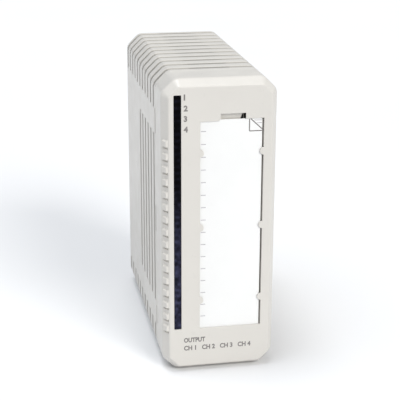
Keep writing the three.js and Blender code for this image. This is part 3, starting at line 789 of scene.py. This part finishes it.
for name, (low, high), pins in zip(("process", "bus"), connector_boxes, PINS):
    step = (high[2] - low[2] - END_MARGIN) / pins
    middle_x = (low[0] + high[0]) / 2
    hole_z = low[2] + END_MARGIN / 2 + step * (np.arange(pins) + 0.5)
    hole_x = middle_x + COLUMN_X * np.array([-1, 1])
    spots = np.stack(np.meshgrid(hole_x, hole_z), axis=-1).reshape(-1, 2)
    square = rectangle((-HOLE / 2, HOLE / 2), (-HOLE / 2, HOLE / 2))
    end_y = high[1]
    surfaces = slab(
        rectangle((low[0], high[0]), (low[2], high[2]), 0.6), (end_y, low[1]), 0.5,
        pockets=[(spot + square, HOLE_DEPTH) for spot in spots], hole_edge=0.25,
    )
    body_name = f"{name}_connector_body"
    body = make_piece(
        body_name, clean_mesh(body_name, surfaces), CONNECTOR, "module",
        [f"{name}_connector"],
    )
    even_flats(body)
    springs = np.vstack([
        np.hstack([spots + [offset, -SPRING_HALF], spots + [offset, SPRING_HALF]])
        for offset in (-SPRING_OFFSET, SPRING_OFFSET)
    ])
    spring_y = (end_y - SPRING_SUNK, end_y - HOLE_DEPTH)
    spring_surface = strokes(springs, SPRING_THICKNESS, spring_y)
    spring_name = f"{name}_contact_springs"
    make_piece(
        spring_name, clean_mesh(spring_name, [spring_surface]), CONTACT, "module",
    )

# %% [markdown]
# ## The lamp window
# The window is a strip of smoked plastic. It looks almost black from outside. Rows of faint pale
# spots show the lamps behind it, and a mottled blue haze that grows towards the bottom is a
# painted reflection. It could be made really transparent, but a tinted surface gives the same look and
# exports well.

# %% Smoked plastic
HAZE_FROM, HAZE_FULL = 78.0, 45.0
SPOT_PITCH, MOTTLE = BAR_PITCH / 2, 1.8
LEAST_HAZE, SPOT_GAIN, MOTTLE_GAIN = 0.12, 0.35, 0.5
# The blue tint is a painted reflection; the dark tint is the plastic's own.
DARK_TINT, PAINTED_REFLECTION_TINT = (0.002, 0.002, 0.0025, 1), (0.05, 0.052, 0.10, 1)


def smoked_plastic():
    """Near-black plastic: rows of faint spots, and a mottled blue haze that grows downwards."""
    material = finish("smoked plastic", (0.01, 0.01, 0.014), 0.2, grain=2.0, bump=0.02,
                      gloss_change=0.03, specular=0.02)
    tree = material.node_tree
    shader = tree.nodes["Principled BSDF"]
    place = tree.nodes.new("ShaderNodeTexCoord").outputs["Object"]
    apart = tree.nodes.new("ShaderNodeSeparateXYZ")
    tree.links.new(place, apart.inputs["Vector"])

    lower = node_range(tree, apart.outputs["Z"], HAZE_FROM * MM, HAZE_FULL * MM)
    mottled = node_range(tree, node_noise(tree, place, MOTTLE, 4), 0.36, 0.66)
    wave = node_math(tree, "MULTIPLY", apart.outputs["Z"], math.pi / (SPOT_PITCH * MM))
    row = node_math(tree, "ABSOLUTE", node_math(tree, "COSINE", wave))
    spots = node_math(tree, "MULTIPLY", node_math(tree, "POWER", row, 3.0), mottled)
    strength = node_math(tree, "ADD", node_math(tree, "MULTIPLY", lower, SPOT_GAIN), LEAST_HAZE)
    # Painted reflection: a mottled veil that grows towards the bottom of the window.
    painted_reflection_veil = node_math(tree, "ADD", node_math(tree, "MULTIPLY", mottled, MOTTLE_GAIN), LEAST_HAZE)
    haze = node_math(
        tree, "ADD", node_math(tree, "MULTIPLY", spots, strength),
        node_math(tree, "MULTIPLY", lower, painted_reflection_veil),
    )
    tint = tree.nodes.new("ShaderNodeMix")
    tint.data_type = "RGBA"
    tint.inputs["A"].default_value = DARK_TINT
    tint.inputs["B"].default_value = PAINTED_REFLECTION_TINT
    tree.links.new(haze, tint.inputs["Factor"])
    tree.links.new(tint.outputs["Result"], shader.inputs["Base Color"])
    return material


SMOKED = smoked_plastic()

# %% Window pane
PANE_Y, FLANGE_Y = (FRONT_Y + 0.15, FRONT_Y + 2.4), (FRONT_Y + 2.3, FRONT_Y + 3.1)
FLANGE_X = (WINDOW_X[0] - 0.4, WINDOW_X[1] + 0.4)
FLANGE_Z = (WINDOW_Z[0] - 0.9, WINDOW_Z[1] - 1.1)
pane_surfaces = slab(moved_in(window_loop, 0.1), PANE_Y, 0.18)
pane_surfaces += slab(rectangle(FLANGE_X, FLANGE_Z), FLANGE_Y, 0.1)
pane = make_piece(
    "smoked_window", clean_mesh("smoked_window", pane_surfaces), SMOKED, "module",
    ["indicator_window"],
)
even_flats(pane)

# %% [markdown]
# ## The label card
# The card is a coated white sheet. It rides on its own body, because it slides up in its
# pocket, and so does everything printed on it. The print is modelled as very thin strokes of
# ink, a hundredth of a millimetre high, so that it needs no picture and moves with the card.

# %% Card and its print
card_low, card_high = box_mm("label_card")
card_loop = rectangle((card_low[0], card_high[0]), (card_low[2], card_high[2]), 0.5)
make_piece(
    "coated_label_card",
    clean_mesh("coated_label_card", slab(card_loop, (card_low[1], card_high[1]), 0.06), 50),
    CARD, "label", ["label_card"],
)

INK_Y = (card_low[1] - 0.012, card_low[1] + 0.02)
TICKS, TICK_TOP, TICK_PITCH, TICK_X = 16, 99.0, 5.04, (-7.6, -5.65)
THIN_LINE, THICK_LINE, PALE_LINE = 0.25, 0.42, 0.22
tick_z = TICK_TOP - TICK_PITCH * np.arange(TICKS)
ticks = np.column_stack([
    np.full(TICKS, TICK_X[0]), tick_z, np.full(TICKS, TICK_X[1]), tick_z,
])
tick_surface = strokes(ticks, THIN_LINE, INK_Y)
make_piece(
    "card_ticks", clean_mesh("card_ticks", [tick_surface], 50), PALE_INK, "label",
)
corner_sign = [
    [11.1, 98.45, 11.1, 103.2], [11.1, 98.45, 16.0, 98.45], [11.6, 103.2, 16.0, 99.1],
]
corner_lines = [[13.0, 102.6, 15.9, 102.6], [14.0, 101.5, 15.9, 101.5]]
make_piece(
    "card_corner_sign",
    clean_mesh("card_corner_sign", [strokes(corner_sign, THICK_LINE, INK_Y)], 50),
    INK, "label",
)
make_piece(
    "card_corner_lines",
    clean_mesh("card_corner_lines", [strokes(corner_lines, PALE_LINE, INK_Y)], 50),
    PALE_INK, "label",
)

# %% [markdown]
# ## Lettering
# The marks on the cover are plain numbers and words, set with Blender's own font. A text
# object is turned into a mesh first, and only then measured, scaled to the wanted height and
# moved to its place, because a finished piece has to sit unturned at the origin.

# %% Lettering on the cover
INK_SUNK, INK_DEPTH = 0.02, 0.034


def lettering(name, text, x, z, height, width=None, weight=0.03):
    """Raised ink in the shape of a text: its lower left corner at (x, z), its height in mm.

    With a width the text is stretched or squeezed along X to fill it."""
    curve = bpy.data.curves.new(name, "FONT")
    curve.body = text
    curve.extrude = 0.01
    curve.resolution_u = 3
    curve.offset = weight
    shape = bpy.data.objects.new(name + "_shape", curve)
    bpy.context.scene.collection.objects.link(shape)
    bpy.context.view_layer.update()
    mesh = bpy.data.meshes.new_from_object(shape)
    bpy.data.objects.remove(shape)
    points = np.zeros(len(mesh.vertices) * 3)
    mesh.vertices.foreach_get("co", points)
    points = points.reshape(-1, 3)
    points -= points.min(axis=0)
    size = points.max(axis=0)
    across = width / size[0] if width else height / size[1]
    placed = np.column_stack([
        x + points[:, 0] * across,
        FRONT_Y + INK_SUNK - INK_DEPTH * points[:, 2] / size[2],
        z + points[:, 1] * height / size[1],
    ]) * MM
    mesh.vertices.foreach_set("co", placed.ravel())
    mesh.update()
    turned = bmesh.new()
    turned.from_mesh(mesh)
    bmesh.ops.remove_doubles(turned, verts=turned.verts, dist=1e-8)
    bmesh.ops.recalc_face_normals(turned, faces=turned.faces)
    turned.to_mesh(mesh)
    turned.free()
    mesh.name = name
    return make_piece(name, mesh, INK, "module")


LEFT_X, STATUS_Z, TYPE_Z, CHANNEL_Z = -14.3, (111.4, 107.2, 103.2, 99.1), 12.55, 9.1
DIGIT_HEIGHT, LINE_HEIGHT = 2.3, 2.1
for digit, z in zip("1234", STATUS_Z):
    lettering(f"status_mark_{digit}", digit, LEFT_X, z, DIGIT_HEIGHT, weight=0.045)
lettering("type_line", "OUTPUT", LEFT_X, TYPE_Z, LINE_HEIGHT, 8.6, weight=0.04)
channels = "CH 1   CH 2   CH 3   CH 4"
lettering("channel_line", channels, LEFT_X, CHANNEL_Z, LINE_HEIGHT, 27.2, weight=0.04)
print("lettering set")

# %% [markdown]
# ## The coding keys and what is inside
# The keys in the back plate are discs of grey resin, each with a round socket and a keyway to
# one side. The parts behind the slots are hardly seen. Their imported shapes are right, so they
# keep them and only get a finish.

# %% Coding keys
SOCKET_RADIUS, KEYWAY_HALF, KEYWAY_LENGTH, SOCKET_DEPTH = 1.6, 0.7, 3.4, 2.4
KEY_Y, FLANGE = (REAR_Y - 0.2, REAR_Y - 3.4), 1.0


def keyed_socket(x, z):
    """A round socket with a straight keyway towards +X, as one anticlockwise loop."""
    opening = math.asin(KEYWAY_HALF / SOCKET_RADIUS)
    angle = np.linspace(opening, 2 * math.pi - opening, 28)
    arc = SOCKET_RADIUS * np.column_stack([np.cos(angle), np.sin(angle)])
    keyway = [[KEYWAY_LENGTH, -KEYWAY_HALF], [KEYWAY_LENGTH, KEYWAY_HALF]]
    return np.array([x, z]) + np.vstack([arc, keyway])


for index, z in enumerate(KEY_LEVELS, start=1):
    name = f"keyed_disc_{index}"
    surfaces = slab(
        circle(KEY_X, z, KEY_RADIUS), KEY_Y, 0.3,
        pockets=[(keyed_socket(KEY_X, z), SOCKET_DEPTH)], hole_edge=0.15,
    )
    surfaces += slab(circle(KEY_X, z, KEY_RADIUS + FLANGE), (REAR_Y - 2.1, KEY_Y[1]), 0.15)
    disc = make_piece(name, clean_mesh(name, surfaces), KEY, "module",
                      [f"coding_key_{index}"])
    even_flats(disc)

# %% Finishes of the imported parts
FINISH_OF_SLOT = {
    "case": CASE, "window": SMOKED, "card": CARD, "light_guide": GUIDE, "board": BOARD,
    "connector": CONNECTOR, "chip": CHIP, "ferrite": FERRITE, "capacitor_can": CAN,
    "screw_steel": STEEL, "spacer_brass": BRASS, "key": KEY, "lamp": LAMP,
}
for entry in frame["record"]["subparts"]:
    packed = frame["nodes"][entry["node"]].data
    packed.materials.clear()
    packed.materials.append(FINISH_OF_SLOT[entry["material_slot"]])

# %% [markdown]
# ## Floor, light and camera
# The module stands on a pale floor in a bright studio. A wide soft lamp in front, above and to
# the right lights the face, one overhead lights the top, and a cooler one fills in from above
# on the left. The sky does the rest. It could be one plain brightness, but then it would either
# light too much or look grey behind the object. A Light Path node tells rays from the camera
# from all others, so the sky can look paler than the light that it gives. The camera stands in
# front of the module, above it and a little to its left, and its long lens keeps the upright
# edges nearly parallel.

# %% Floor
def studio_floor():
    """A wide flat sheet under the object, with hardly visible cloudy variation."""
    reach = 6000.0
    line = np.linspace(-reach, reach, 5)
    x, y = np.meshgrid(line, line, indexing="ij")
    points, faces = grid_surface(np.stack([x, y, np.full_like(x, -0.02)], axis=-1))
    mesh = bpy.data.meshes.new("studio_floor")
    mesh.from_pydata((points * MM).tolist(), [], faces.tolist())
    mesh.materials.append(finish("floor paper", (0.85, 0.852, 0.86), 0.8, grain=1.5, bump=0.02,
                                 cloud=400, shade=0.004, marks=0.0))
    floor = bpy.data.objects.new("studio_floor", mesh)
    bpy.context.scene.collection.objects.link(floor)


studio_floor()

# %% Light
SKY_COLOUR, SKY_LIGHT, SKY_SEEN = (0.93, 0.96, 1.0, 1), 0.38, 1.1
world = bpy.data.worlds.new("studio")
bpy.context.scene.world = world
world.use_nodes = True
world_tree = world.node_tree
background = world_tree.nodes["Background"]
background.inputs["Color"].default_value = SKY_COLOUR
seen = world_tree.nodes.new("ShaderNodeLightPath").outputs["Is Camera Ray"]
sky = node_range(world_tree, seen, 0, 1, SKY_LIGHT, SKY_SEEN)
world_tree.links.new(sky, background.inputs["Strength"])


def distant_softbox(name, towards, strength, width, colour):
    """A sun lamp that shines from a direction; width is the angle in degrees that it fills."""
    data = bpy.data.lights.new(name, "SUN")
    data.energy = strength
    data.angle = math.radians(width)
    data.color = colour
    lamp = bpy.data.objects.new(name, data)
    bpy.context.scene.collection.objects.link(lamp)
    lamp.matrix_world = Vector(towards).to_track_quat("Z", "Y").to_matrix().to_4x4()


distant_softbox("key", (0.35, -0.76, 0.55), 1.66, 25, (1.0, 0.985, 0.955))
distant_softbox("overhead", (-0.1, 0.1, 0.99), 1.05, 25, (1.0, 1.0, 0.99))
distant_softbox("fill", (-0.35, -0.05, 0.93), 0.9, 40, (0.88, 0.93, 1.0))
bpy.context.scene.view_settings.view_transform = "Standard"
print(len(bpy.data.lights), "lamps and a sky")

# %% Camera
camera_data = bpy.data.cameras.new("camera")
camera_data.sensor_width = 36.0
camera_data.lens = 101.99
camera_data.clip_start = 0.01
camera_data.clip_end = 50
camera = bpy.data.objects.new("camera", camera_data)
bpy.context.scene.collection.objects.link(camera)
right = (0.98252, -0.18612, 0.00327)
up = (0.05551, 0.30971, 0.94921)
back = (-0.17768, -0.93244, 0.31462)
turn = Matrix([right, up, back]).transposed().to_4x4()
camera.matrix_world = Matrix.Translation((-0.08510, -0.46007, 0.20870)) @ turn
bpy.context.scene.camera = camera
print("camera at", tuple(round(value, 3) for value in camera.matrix_world.translation))
